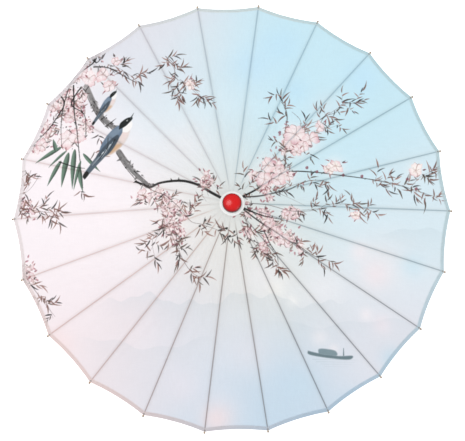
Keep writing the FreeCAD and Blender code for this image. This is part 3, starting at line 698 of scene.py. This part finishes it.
def paint_lower_branches(picture):
    """The reddish branches below the cap, to its right and to its left."""
    right = ((20, -10), (45, -28), (64, -41), (84, -57), (118, -70), (153, -91), (184, -99))
    picture.spray(((60, -36), (84, -56), (118, -72)), 12, 12, 16, 8, 12)
    picture.spray(((24, -14), (60, -20), (112, -20)), 8, 8, 10, 6, 11)
    picture.spray(((30, -50), (52, -78), (70, -96)), 4, 7, 8, 6, 9)
    picture.leafy_twig(((26, -30), (50, -72), (78, -104), (92, -128)), 1.4, 6, 24)
    picture.bough(right, 3.4, 1.2, BARK, 10)
    picture.bough(((20, -8), (55, -20), (92, -26)), 4.2, 1.5, INK, 6)
    picture.bough(((60, -50), (72, -74), (84, -92), (86, -112)), 2.6, 1.0, INK, 5)
    picture.bough(((22, -18), (36, -64), (56, -88)), 1.8, 1.0, TWIG, 4)
    for x, y, radius in ((84, -50, 14), (98, -64, 14), (118, -14, 12), (104, -18, 9), (70, -34, 11), (58, -76, 8)):
        picture.blossom(x, y, radius, "C98A93", PETAL)
    for x, y, angle in ((158, -92, 60), (162, -96, -60), (182, -99, -20), (134, -84, -80), (150, -90, 100),
                        (86, -110, -90), (82, -96, -140), (56, -86, -60), (46, -80, -120), (120, -72, 40)):
        picture.sprig(x, y, angle, 26, 5)
    left = ((-168, 44), (-144, 30), (-123, 20), (-97, -5), (-77, -30), (-56, -37), (-22, -50))
    picture.spray(((-150, 24), (-122, 0), (-116, -40)), 14, 12, 16, 9, 12)
    picture.spray(((-116, -30), (-100, -60), (-96, -80)), 6, 6, 8, 7, 10)
    picture.leafy_twig(((-118, -40), (-100, -84), (-80, -118), (-60, -134)), 1.4, 5, 26)
    picture.leafy_twig(((-124, -20), (-140, -56), (-158, -92)), 1.3, 5, 24)
    picture.leafy_twig(((-144, 30), (-110, 16), (-84, 6), (-60, 2)), 1.3, 4, 20)
    picture.spray(((-60, 46), (-44, 40), (-30, 22)), 4, 4, 6, 6, 10)
    picture.stroke(left, 2.0, 1.2, TWIG)
    picture.stroke(((-104, -10), (-118, -30), (-148, -58), (-144, -96)), 1.6, 1.0, TWIG)
    picture.stroke(((-110, -30), (-98, -85), (-79, -120), (-62, -132)), 1.6, 0.9, TWIG)
    for x, y, angle in ((-62, -132, -20), (-78, -120, -70), (-98, -84, -110), (-146, -90, -80), (-150, -60, -150),
                        (-56, -38, 20), (-60, -44, -50), (-30, -48, -30), (-8, -44, -80), (-4, -58, -40),
                        (-12, -50, 160), (10, -60, -60), (-86, -20, 50), (-70, -12, 80), (-160, 20, -150)):
        picture.sprig(x, y, angle, 26, 5)
    for x, y in ((-10, -46), (-4, -60), (4, -52), (-60, -40), (-50, -30)):
        picture.bud(x, y, 2.4, INK)


def painted_print():
    picture = Picture(half_width=424, pitch=0.6, seed=22)
    picture.wash()
    paint_clouds(picture)
    paint_hills(picture)
    paint_boat(picture, 184, -272, 84)
    paint_edge_sprigs(picture)
    paint_old_branch(picture)
    paint_left_blossoms(picture)
    paint_bird(picture, -246, 197, 56, 50)
    paint_bird(picture, -240, 110, 52, 92)
    paint_lower_branches(picture)
    paint_right_branches(picture)
    return picture


# ---------------------------------------------------------------- the cloth


def cloth_height(radius):
    """Height of the cloth along a rib: the middle of its thickness."""
    return CLOTH_HIGH.z - CLOTH_THICKNESS / 2 - (radius - HOLE_RADIUS) * FALL


def edge_distance(side):
    """Distance of the edge along the middle of a gore. Side is 0 there, and -1 or 1 at its ribs."""
    return EDGE_RADIUS * math.cos(HALF_STEP) - EDGE_HOLLOW * (1 - side ** 2)


def ripple(x, y):
    """Slight unevenness of stretched cloth, by its place in plan view."""
    angle = np.arctan2(y, x)
    radius = np.hypot(x, y)
    long_folds = np.sin(angle * 61 + 3 * np.sin(radius * 21)) * np.sin(radius * 17 + 4 * np.sin(angle * 9))
    short_folds = np.sin(x * 143 + 2 * np.sin(y * 57)) * np.sin(y * 131 + 2 * np.sin(x * 49))
    puckers = np.sin(angle * 209 + 2 * np.sin(angle * 31)) * np.exp((radius - EDGE_RADIUS) / 0.022)
    return 0.00050 * long_folds + 0.00016 * short_folds + 0.00028 * puckers


def cloth_points(along, across, overhang=0.0, drop=0.0):
    """Points of the cloth that is glued to a rib along +X.
    Along is 0 at the hole and 1 at the edge. Across is 0 at the rib and -1 or 1 at the middles of its gores."""
    side = 1 - np.abs(across)
    start = HOLE_RADIUS * math.cos(HALF_STEP)
    distance = start + along * (edge_distance(side) - start) + overhang
    turn = np.where(across < 0, -HALF_STEP, HALF_STEP)
    sideways = side * distance * np.tan(turn)
    x = distance * np.cos(turn) + sideways * np.sin(turn)
    y = distance * np.sin(turn) - sideways * np.cos(turn)
    sag = 0.0022 * along ** 1.5 * (1 - side ** 2)
    off_rib = smooth_step(np.abs(across) * distance * math.tan(HALF_STEP), 0.0024, 0.0050)
    sag = sag + RIB_RIDGE * off_rib * smooth_step(along, 0.04, 0.15)
    z = cloth_height(distance / math.cos(HALF_STEP)) - sag - drop
    return np.stack([x, y, z], 1)


def strip_rows():
    """The rows of half a strip of cloth, as (along, overhang, drop, number of points)."""
    start = HOLE_RADIUS * math.cos(HALF_STEP)
    length = edge_distance(0) - start
    rows = []
    for along in np.linspace(0, 1, math.ceil(length / math.cos(SLOPE) / CLOTH_SPACING)):
        width = 2 * (start + along * length) * math.tan(HALF_STEP)
        rows.append((along, 0.0, 0.0, math.ceil(width / 2 / CLOTH_SPACING) + 1))
    widest = rows[-1][3]
    for angle in (45, 90, 135, 180):
        turn = math.radians(angle)
        rows.append((1.0, HEM_FOLD * math.sin(turn), HEM_FOLD * (1 - math.cos(turn)), widest))
    for share in (0.15, 0.4, 0.7, 1.0):
        rows.append((1.0, -share * HEM_WIDTH, 2 * HEM_FOLD, widest))
    return rows


def strip_grid(sign):
    """Along, across, overhang and drop of every point of a rib's strip on one side of it, and its triangles."""
    points, triangles, first_of_row = [], [], []
    for along, overhang, drop, count in strip_rows():
        first_of_row.append(len(points))
        points += [(along, sign * across, overhang, drop) for across in np.linspace(0, 1, count)]
    first_of_row.append(len(points))
    for low, high, end in zip(first_of_row, first_of_row[1:], first_of_row[2:]):
        near, far = high - low - 1, end - high - 1
        i = j = 0
        while i < near or j < far:
            if j < far and (i == near or (j + 1) * near <= (i + 1) * far):
                triangles.append((low + i, high + j, high + j + 1))
                j += 1
            else:
                triangles.append((low + i, high + j, low + i + 1))
                i += 1
    return np.array(points), np.array(triangles)[:, ::sign]


def mesh_of(name, points, triangles):
    mesh = bpy.data.meshes.new(name)
    mesh.vertices.add(len(points))
    mesh.vertices.foreach_set("co", points.astype(np.float32).ravel())
    mesh.loops.add(3 * len(triangles))
    mesh.loops.foreach_set("vertex_index", triangles.astype(np.int32).ravel())
    mesh.polygons.add(len(triangles))
    mesh.polygons.foreach_set("loop_start", np.arange(0, 3 * len(triangles), 3, dtype=np.int32))
    mesh.polygons.foreach_set("use_smooth", np.ones(len(triangles), bool))
    mesh.update(calc_edges=True)
    mesh.validate()
    return mesh


def piece_of(name, mesh, finish=None):
    piece = bpy.data.objects.new(name, mesh)
    bpy.context.scene.collection.objects.link(piece)
    if finish is not None:
        mesh.materials.clear()
        mesh.materials.append(finish)
    return piece


def turned_about_shaft(points, angle):
    cos, sin = math.cos(angle), math.sin(angle)
    x = points[:, 0] * cos - points[:, 1] * sin
    y = points[:, 0] * sin + points[:, 1] * cos
    return np.stack([x, y, points[:, 2]], 1)


def fold_with_rib(piece, index):
    """The piece turns with its rib."""
    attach(piece, RIBS[index])
    turn = Matrix.Rotation(index * STEP, 3, "Z")
    anchor = turn @ Vector((HOLE_RADIUS, 0, cloth_height(HOLE_RADIUS)))
    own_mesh(piece)


def smooth_step(value, low, high):
    t = np.clip((value - low) / (high - low), 0, 1)
    return t * t * (3 - 2 * t)


def tint_at(angle, tints):
    """The tint at each angle, blended from the nearest ones given."""
    near = np.exp(12 * np.cos(angle[:, None] - np.radians([place for place, _ in tints])) - 12)
    return near @ np.array([tint for _, tint in tints]) / near.sum(1, keepdims=True)


def cloth_colours(picture, grid, points):
    """The print, with painted shade along the ribs for their shadows through the cloth, and the doubled hem showing
    faintly through the cloth.
    """
    printed = turned_about_shaft(points, PRINT_TURN)
    colour = picture.colours_at(printed[:, 0], printed[:, 1])
    radius = np.hypot(points[:, 0], points[:, 1])
    beside = np.abs(grid[:, 1]) * radius * math.tan(HALF_STEP)
    angle = np.arctan2(points[:, 1], points[:, 0])
    # Painted shade: a darker line along each rib for its shadow through the cloth, darker on the front side than on the
    # left.
    rib_shade = (1 - smooth_step(beside, 0.0003, 0.0014)) * smooth_step(radius, 0.028, 0.06)
    colour = colour * (1 - rib_shade[:, None] * (1 - tint_at(angle, RIB_SHADE_TINTS)))
    side = 1 - np.abs(grid[:, 1])
    start = HOLE_RADIUS * math.cos(HALF_STEP)
    from_edge = (edge_distance(side) - start) * (1 - grid[:, 0])
    hem = (1 - smooth_step(from_edge, HEM_WIDTH - 0.0006, HEM_WIDTH + 0.0006))[:, None]
    paint = to_linear(tint_at(angle, [(place, rgb(tone)) for place, tone in HEM_PAINT]))
    return colour * (1 - 0.75 * hem) + paint * 0.75 * hem


def make_cloth(finish):
    """Two strips of cloth for every rib: the halves of the gores beside it, meeting on its back."""
    picture = painted_print()
    for side, sign in SIDES:
        grid, triangles = strip_grid(sign)
        flat_points = cloth_points(*grid.T)
        for index, rib in enumerate(RIBS):
            points = turned_about_shaft(flat_points, index * STEP)
            swell = ripple(points[:, 0], points[:, 1]) * smooth_step(np.abs(grid[:, 1]), 0.05, 0.3)
            points[:, 2] += swell * smooth_step(grid[:, 0], 0.05, 0.3)
            mesh = mesh_of(f"cloth_{rib[4:]}_{side}", points, triangles)
            colour = np.ones((len(points), 4), np.float32)
            colour[:, :3] = cloth_colours(picture, grid, points)
            mesh.color_attributes.new("print", "FLOAT_COLOR", "POINT").data.foreach_set("color", colour.ravel())
            strip = piece_of(mesh.name, mesh, finish)
            fold_with_rib(strip, index)
            if mesh.name == "cloth_01_left":
                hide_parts("canopy")


# ---------------------------------------------------------------- stitches and bindings


class Growth(Tree):
    """A Geometry Nodes tree with named inputs. grown() runs it and returns a plain mesh."""

    def __init__(self, name, **sizes):
        group = bpy.data.node_groups.new(name, "GeometryNodeTree")
        super().__init__(group)
        group.interface.new_socket("Geometry", in_out="INPUT", socket_type="NodeSocketGeometry")
        for label in sizes:
            group.interface.new_socket(label.replace("_", " "), in_out="INPUT", socket_type="NodeSocketFloat")
        group.interface.new_socket("Finish", in_out="INPUT", socket_type="NodeSocketMaterial")
        group.interface.new_socket("Geometry", in_out="OUTPUT", socket_type="NodeSocketGeometry")
        self.group = group
        self.sizes = {label.replace("_", " "): size for label, size in sizes.items()}
        self.entry = self.node("NodeGroupInput")

    def size(self, label):
        return Value(self, self.entry.outputs[label])

    def close(self, geometry):
        realized = self.node("GeometryNodeRealizeInstances", inputs={0: geometry})
        inputs = {"Geometry": realized.outputs[0], "Material": self.entry.outputs["Finish"]}
        finished = self.node("GeometryNodeSetMaterial", inputs=inputs)
        self.node("NodeGroupOutput", inputs={0: finished.outputs[0]})

    def grown(self, name, start, finish):
        """The mesh that the tree makes from the start object, with that finish."""
        modifier = start.modifiers.new("growth", "NODES")
        modifier.node_group = self.group
        for item in self.group.interface.items_tree:
            if item.in_out == "INPUT" and item.name in self.sizes:
                modifier[item.identifier] = self.sizes[item.name]
            if item.in_out == "INPUT" and item.name == "Finish":
                modifier[item.identifier] = finish
        bpy.context.view_layer.update()
        seen = start.evaluated_get(bpy.context.evaluated_depsgraph_get())
        mesh = bpy.data.meshes.new_from_object(seen)
        mesh.name = name
        start.modifiers.remove(modifier)
        bpy.data.objects.remove(start)
        return mesh


def path_object(name, points_of_lines):
    """A curve object with one straight-sided line for each list of points."""
    curve = bpy.data.curves.new(name, "CURVE")
    curve.dimensions = "3D"
    for points in points_of_lines:
        spline = curve.splines.new("POLY")
        spline.points.add(len(points) - 1)
        for spot, point in zip(spline.points, points):
            spot.co = (*point, 1)
    return piece_of(name, curve)


def stitch_growth():
    """Thread stitches laid end to end along every line of a curve."""
    growth = Growth("row of stitches", Pitch=0.0032, Length=0.0022, Thickness=0.00045)
    spaced = growth.node("GeometryNodeResampleCurve", inputs={"Curve": growth.entry.outputs[0]})
    if "Mode" in spaced.inputs:
        growth.feed(spaced.inputs["Mode"], "Length")
    else:
        spaced.mode = "LENGTH"
    growth.feed(spaced.inputs["Length"], growth.size("Pitch"))
    grain = growth.node("GeometryNodeMeshUVSphere", inputs={"Segments": 6, "Rings": 6, "Radius": 0.5})
    smooth = growth.node("GeometryNodeSetShadeSmooth", inputs={"Geometry": grain.outputs[0]})
    scale = growth.node("ShaderNodeCombineXYZ", inputs={0: growth.size("Thickness"), 1: growth.size("Thickness"),
                                                        2: growth.size("Length")})
    tangent = growth.node("GeometryNodeInputTangent")
    turn = growth.node("FunctionNodeAlignRotationToVector", {"axis": "Z"}, {"Vector": tangent.outputs[0]})
    inputs = {"Points": spaced.outputs[0], "Instance": smooth.outputs[0], "Rotation": turn.outputs[0],
              "Scale": scale.outputs[0]}
    growth.close(growth.node("GeometryNodeInstanceOnPoints", inputs=inputs).outputs[0])
    return growth


def make_stitches(finish):
    """Two rows of stitches along each strip's hem, one on each face of the cloth."""
    growth = stitch_growth()
    inward = -(HEM_WIDTH - 0.0016)
    for side, sign in SIDES:
        across = sign * np.linspace(0.03, 0.97, 30)
        for index, rib in enumerate(RIBS):
            name = f"hem_stitches_{rib[4:]}_{side}"
            lines = []
            for drop in (-0.00018, 2 * HEM_FOLD + 0.00012):
                points = turned_about_shaft(cloth_points(np.ones(30), across, inward, drop), index * STEP)
                lines.append(points.tolist())
            stitches = piece_of(name, growth.grown(name, path_object("hem line", lines), finish))
            fold_with_rib(stitches, index)


def winding_growth():
    """Turns of thread around a bar along X: a spiral, flattened to the bar's section, with thickness."""
    growth = Growth("thread winding", Turns=5.0, Length=0.0024, Half_width=0.0019, Half_depth=0.0019, Thread=0.00024)
    spiral = growth.node("GeometryNodeCurveSpiral", inputs={"Resolution": 18, "Rotations": growth.size("Turns"),
                                                           "Start Radius": 1.0, "End Radius": 1.0,
                                                           "Height": growth.size("Length")})
    scale = growth.node("ShaderNodeCombineXYZ", inputs={0: growth.size("Half depth"), 1: growth.size("Half width"),
                                                        2: 1.0})
    shaped = growth.node("GeometryNodeTransform", inputs={"Geometry": spiral.outputs[0], "Scale": scale.outputs[0]})
    laid = growth.node("GeometryNodeTransform", inputs={"Geometry": shaped.outputs[0],
                                                        "Rotation": (0.0, math.pi / 2, 0.0)})
    profile = growth.node("GeometryNodeCurvePrimitiveCircle", inputs={"Resolution": 6, "Radius": growth.size("Thread")})
    inputs = {"Curve": laid.outputs[0], "Profile Curve": profile.outputs[0], "Fill Caps": True}
    tube = growth.node("GeometryNodeCurveToMesh", inputs=inputs)
    smooth = growth.node("GeometryNodeSetShadeSmooth", inputs={"Geometry": tube.outputs[0]})
    growth.close(smooth.outputs[0])
    return growth


def make_bindings(finish):
    """Thread wound around each rib's tip: over the cloth's corner, and on the bare end past it."""
    growth = winding_growth()
    ends = bmesh.new()
    for radius, below, sizes in ((EDGE_RADIUS - 0.0042, 0.00153, {}), (EDGE_RADIUS + 0.0006, 0.00192, BARE_END)):
        growth.sizes.update(sizes)
        turns = growth.grown("turns", path_object("turns", [[(0, 0, 0), (0.001, 0, 0)]]), finish)
        slanted = Matrix.Rotation(SLOPE, 4, "Y")
        turns.transform(Matrix.Translation((radius, 0, cloth_height(radius) - below)) @ slanted)
        ends.from_mesh(turns)
    pattern = bpy.data.meshes.new("tip binding")
    ends.to_mesh(pattern)
    pattern.materials.append(finish)
    for index, rib in enumerate(RIBS):
        mesh = pattern.copy()
        mesh.name = f"tip_binding_{rib[4:]}"
        mesh.transform(Matrix.Rotation(index * STEP, 4, "Z"))
        binding = piece_of(mesh.name, mesh)
        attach(binding, rib)


# ---------------------------------------------------------------- finishes


def cloth_finish():
    """Thin printed cloth with a fine weave, a soft sheen and light coming through."""
    f = Finish("printed cloth")
    x, y, z, place = f.place()
    pitch = 2 * math.pi / 0.0006
    warp = (x * pitch).math("SINE")
    weft = (y * pitch).math("SINE")
    weave = warp * 0.5 + weft * 0.5
    slubs_along_x = f.noise(f.vector(x * 60, y * 900, z * 60), 1.0)
    slubs_along_y = f.noise(f.vector(x * 900, y * 60, z * 60), 1.0)
    slubs = slubs_along_x * 0.5 + slubs_along_y * 0.5
    cloudy = f.noise(place, 9.0, 4.0)
    print_colour = f.node("ShaderNodeAttribute", {"attribute_name": "print"}).outputs["Color"]
    tone = 0.965 + weave * 0.012 + (slubs - 0.5) * 0.10 + (cloudy - 0.5) * 0.06
    colour = f.mix(1.0, print_colour, f.grey(tone), "MULTIPLY")
    rough = 0.50 + (slubs - 0.5) * 0.3
    angle, radius = y.math("ARCTAN2", x), (x * x + y * y).math("SQRT")
    creases = f.noise(f.vector(angle * 13, radius * 7, 0.0), 1.0, 3.0) + f.noise(place, 16.0, 2.0) * 0.6
    bump = f.bump(weave * 0.012 + slubs * 0.03 + creases, 0.0016, 0.5)
    front = f.surface(colour, rough, Normal=bump, Sheen_Weight=0.12, Sheen_Roughness=0.4, IOR=1.4)
    back = f.node("ShaderNodeBsdfTranslucent", inputs={"Color": colour, "Normal": bump}).outputs[0]
    mixed = f.node("ShaderNodeMixShader", inputs={0: 0.16, 1: front, 2: back}).outputs[0]
    return f.done(mixed)


def thread_finish(name, light, dark, strands=260.0):
    """Twisted thread: slanting strands by the angle about the shaft and the height."""
    f = Finish(name)
    x, y, z, place = f.place()
    angle = y.math("ARCTAN2", x)
    twist = (angle * strands + z * 9000).math("SINE") * 0.5 + 0.5
    fuzz = f.noise(place, 1800.0)
    colour = f.ramp((twist * 0.7 + fuzz * 0.3).clamped(), (0.0, linear(dark)), (1.0, linear(light)))
    return f.done(f.surface(colour, 0.75 + (fuzz - 0.5) * 0.2, Normal=f.bump(twist, 0.00015, 0.8), Sheen_Weight=0.3))


def bamboo_finish(name, skin, flesh, node_spacing, index_shift):
    """Split bamboo: straight fibres along each strip, darker rings at its nodes, a glossy skin on top."""
    f = Finish(name)
    x, y, z, place = f.place()
    angle = y.math("ARCTAN2", x)
    rib = (angle / STEP).math("ROUND")
    along = (x * x + y * y).math("SQRT")
    across = (angle - rib * STEP).math("SINE") * along
    chance = (rib * 7.31 + index_shift).math("SINE") * 0.5 + 0.5
    shift = rib * 0.37
    fibres = f.noise(f.vector(along * 22 + shift, across * 2600 + rib, z * 700), 1.0, 5.0, 0.65)
    streaks = f.noise(f.vector(along * 6 + shift, across * 500 + rib, z * 300), 1.0, 2.0)
    patches = f.noise(f.vector(along * 14 + shift * 5, rib, z * 14), 1.0, 2.0)
    ring_place = ((along + chance * 0.09) / node_spacing).math("FRACT") - 0.5
    ring = 1 - (ring_place.math("ABSOLUTE") * (node_spacing / 0.0016)).clamped()
    tone = (fibres * 0.55 + streaks * 0.3 + patches * 0.25 + (chance - 0.5) * 0.16).clamped()
    colour = f.ramp(tone, (0.25, linear(flesh)), (0.55, linear(skin)), (0.85, linear("E3C893")))
    colour = f.mix(ring * 0.6, colour, linear("7A5A33"))
    height = fibres * 0.5 + streaks * 0.3 + ring * 1.4
    rough = 0.42 + (fibres - 0.5) * 0.3
    return f.done(f.surface(colour, rough, Normal=f.bump(height, 0.00025, 0.55), Coat_Weight=0.12, Coat_Roughness=0.3))


def wood_finish(name, light, middle, dark, coat, rings=90.0, bump=0.3):
    """Turned wood: growth rings stretched along the shaft, with pores and a varnish."""
    f = Finish(name)
    x, y, z, place = f.place()
    wander = f.noise(f.vector(x * 30, y * 30, z * 5), 1.0, 2.0)
    distance = ((x + 0.012) * (x + 0.012) + (y - 0.02) * (y - 0.02)).math("SQRT")
    growth = ((distance + wander * 0.012) * rings * 2 * math.pi).math("SINE") * 0.5 + 0.5
    fibres = f.noise(f.vector(x * 900, y * 900, z * 22), 1.0, 4.0, 0.6)
    pores = (f.noise(f.vector(x * 2200, y * 2200, z * 60), 1.0, 1.0) - 0.66).clamped() * 5
    tone = (growth * 0.35 + fibres * 0.5 + wander * 0.2).clamped()
    colour = f.ramp(tone, (0.2, linear(dark)), (0.5, linear(middle)), (0.85, linear(light)))
    colour = f.mix((pores * 0.5).clamped(), colour, linear(dark))
    height = fibres * 0.6 + growth * 0.2 - pores * 0.5
    rough = 0.38 + (fibres - 0.5) * 0.25
    return f.done(f.surface(colour, rough, Normal=f.bump(height, 0.0002, bump), Coat_Weight=coat, Coat_Roughness=0.16))


def lacquer_finish():
    """Bright red lacquer over turned wood. It is painted darker towards the rim, as shade on the cap's steep sides, and
    its turning marks show faintly.
    """
    f = Finish("red lacquer")
    x, y, z, place = f.place()
    radius = (x * x + y * y).math("SQRT")
    cloudy = f.noise(place, 60.0, 2.0)
    specks = f.noise(place, 900.0, 2.0)
    turned = (radius * 2 * math.pi / 0.0011).math("SINE")
    # Painted shade: the colour darkens from 8.5 mm radius out to the rim, for the shade on the cap's steep sides.
    depth = ((radius - 0.0085) / 0.0095).clamped()
    tone = (depth * depth + (cloudy - 0.5) * 0.16).clamped()
    colour = f.ramp(tone, (0.0, linear("D80408")), (0.45, linear("C00309")), (0.8, linear("8C030A")),
                    (1.0, linear("4C0509")))
    rough = 0.2 + cloudy * 0.08 + (specks - 0.5) * 0.06
    height = cloudy + specks * 0.15 + turned * 0.05
    return f.done(f.surface(colour, rough, Normal=f.bump(height, 0.0001, 0.25), Coat_Weight=0.2, Coat_Roughness=0.08,
                            IOR=1.36))


def collar_finish():
    """Matt white card with fibres and a pressed ring pattern, and painted shade along its outer edge."""
    f = Finish("white collar")
    x, y, z, place = f.place()
    radius = (x * x + y * y).math("SQRT")
    angle = y.math("ARCTAN2", x)
    pressed = (angle * 66).math("SINE") * 0.5 + 0.5
    fibres = f.noise(place, 700.0, 4.0)
    colour = f.ramp(fibres, (0.3, linear("EDEFEE")), (0.7, linear("FAFBFA")))
    # Painted shade: past 22.6 mm radius the collar's edge is greyed as if in shadow.
    painted_edge_shade = ((radius - 0.0226) * 1500).clamped()
    colour = f.mix(painted_edge_shade * 0.35, colour, linear("BDBDB8"))
    bump = f.bump(pressed * 0.5 + fibres * 0.4, 0.00012, 0.5)
    return f.done(f.surface(colour, 0.55 + (fibres - 0.5) * 0.2, Normal=bump))


def steel_finish():
    """Drawn steel with fine scratches along the shaft and a little tarnish."""
    f = Finish("steel")
    x, y, z, place = f.place()
    scratches = f.noise(f.vector(x * 4000, y * 4000, z * 200), 1.0, 3.0)
    tarnish = f.noise(place, 240.0, 4.0)
    colour = f.ramp(tarnish, (0.35, linear("8F8A80")), (0.65, linear("B9B7B1")))
    rough = 0.3 + scratches * 0.2 + tarnish * 0.1
    return f.done(f.surface(colour, rough, Metallic=1.0, Normal=f.bump(scratches, 0.00005, 0.4)))


def finish_nodes():
    """Gives every CAD node that shows its finish."""
    thread = thread_finish("hub thread", "C9474B", "7C1F26", 420.0)
    head_wood = wood_finish("hub wood", "DDBB84", "C89F66", "9A7040", 0.15, 70.0)
    finishes = {
        "handle": wood_finish("handle wood", "8E5229", "6A3518", "401C0B", 0.7, 60.0, 0.15),
        "shaft": wood_finish("shaft wood", "D8B27A", "BF9258", "8E6536", 0.35, 80.0, 0.25),
        "top_hub": head_wood,
        "runner": head_wood,
        "top_cap": lacquer_finish(),
        "collar": collar_finish(),
        "hub_thread": thread,
        "runner_thread": thread,
        "rib": bamboo_finish("rib bamboo", "CDA467", "A57C46", 0.19, 0.0),
        "stretcher": bamboo_finish("stretcher bamboo", "D9B67E", "B48D58", 0.23, 1.7),
    }
    steel = steel_finish()
    for name, node in frame["nodes"].items():
        finish = finishes.get(name) or finishes.get(name.split("_")[0]) or steel
        node.data.materials.clear()
        node.data.materials.append(finish)


# ---------------------------------------------------------------- floor, light and camera


def floor_finish():
    f = Finish("pale floor")
    x, y, z, place = f.place()
    grain = f.noise(place, 14.0, 3.0)
    colour = f.ramp(grain, (0.3, linear("F3F3F3")), (0.7, linear("F7F7F7")))
    return f.done(f.surface(colour, 0.9, Emission_Color=(1, 1, 1, 1), Emission_Strength=0.62))


def make_floor():
    size = 12.0
    corners = np.array([(-size, -size, 0), (size, -size, 0), (size, size, 0), (-size, size, 0)], float)
    mesh = mesh_of("floor", corners, np.array([(0, 1, 2), (0, 2, 3)]))
    piece_of("floor", mesh, floor_finish())


def area_light(name, place, size, power, target=(0, 0, 0.4)):
    light = bpy.data.lights.new(name, "AREA")
    light.shape = "DISK"
    light.size = size
    light.energy = power
    lamp = bpy.data.objects.new(name, light)
    lamp.location = place
    lamp.rotation_euler = (Vector(target) - Vector(place)).to_track_quat("-Z", "Y").to_euler()
    bpy.context.scene.collection.objects.link(lamp)


def make_light():
    world = bpy.data.worlds.new("studio")
    world.use_nodes = True
    world.node_tree.nodes["Background"].inputs["Color"].default_value = (1, 1, 1, 1)
    world.node_tree.nodes["Background"].inputs["Strength"].default_value = 0.68
    bpy.context.scene.world = world
    area_light("key", (-0.9, 0.4, 3.4), 1.6, 30)
    area_light("fill", (2.2, -1.6, 2.6), 2.4, 16)
    bpy.context.scene.view_settings.view_transform = "Standard"


def make_camera():
    """Looks down on the canopy from the front, framing it edge to edge."""
    elevation, azimuth = math.radians(78.5), math.radians(-1.1)
    distance = 10 * EDGE_RADIUS
    turn = Matrix.Rotation(azimuth, 3, "Z")
    towards = turn @ Vector((0, -math.cos(elevation), math.sin(elevation)))
    up = turn @ Vector((0, math.sin(elevation), math.cos(elevation)))
    target = Vector((0.0009, 0, cloth_height(EDGE_RADIUS))) - up * 0.0104
    data = bpy.data.cameras.new("camera")
    data.sensor_width = 36
    data.lens = 169.2
    camera = bpy.data.objects.new("camera", data)
    camera.location = target + towards * distance
    camera.rotation_euler = (-towards).to_track_quat("-Z", "Y").to_euler()
    bpy.context.scene.collection.objects.link(camera)
    bpy.context.scene.camera = camera


make_camera()
make_light()
make_floor()
finish_nodes()
make_cloth(cloth_finish())
make_stitches(thread_finish("hem thread", "EDE9E8", "C9C2C4", 900.0))
make_bindings(thread_finish("tip thread", "BDB6B2", "8C8480", 900.0))
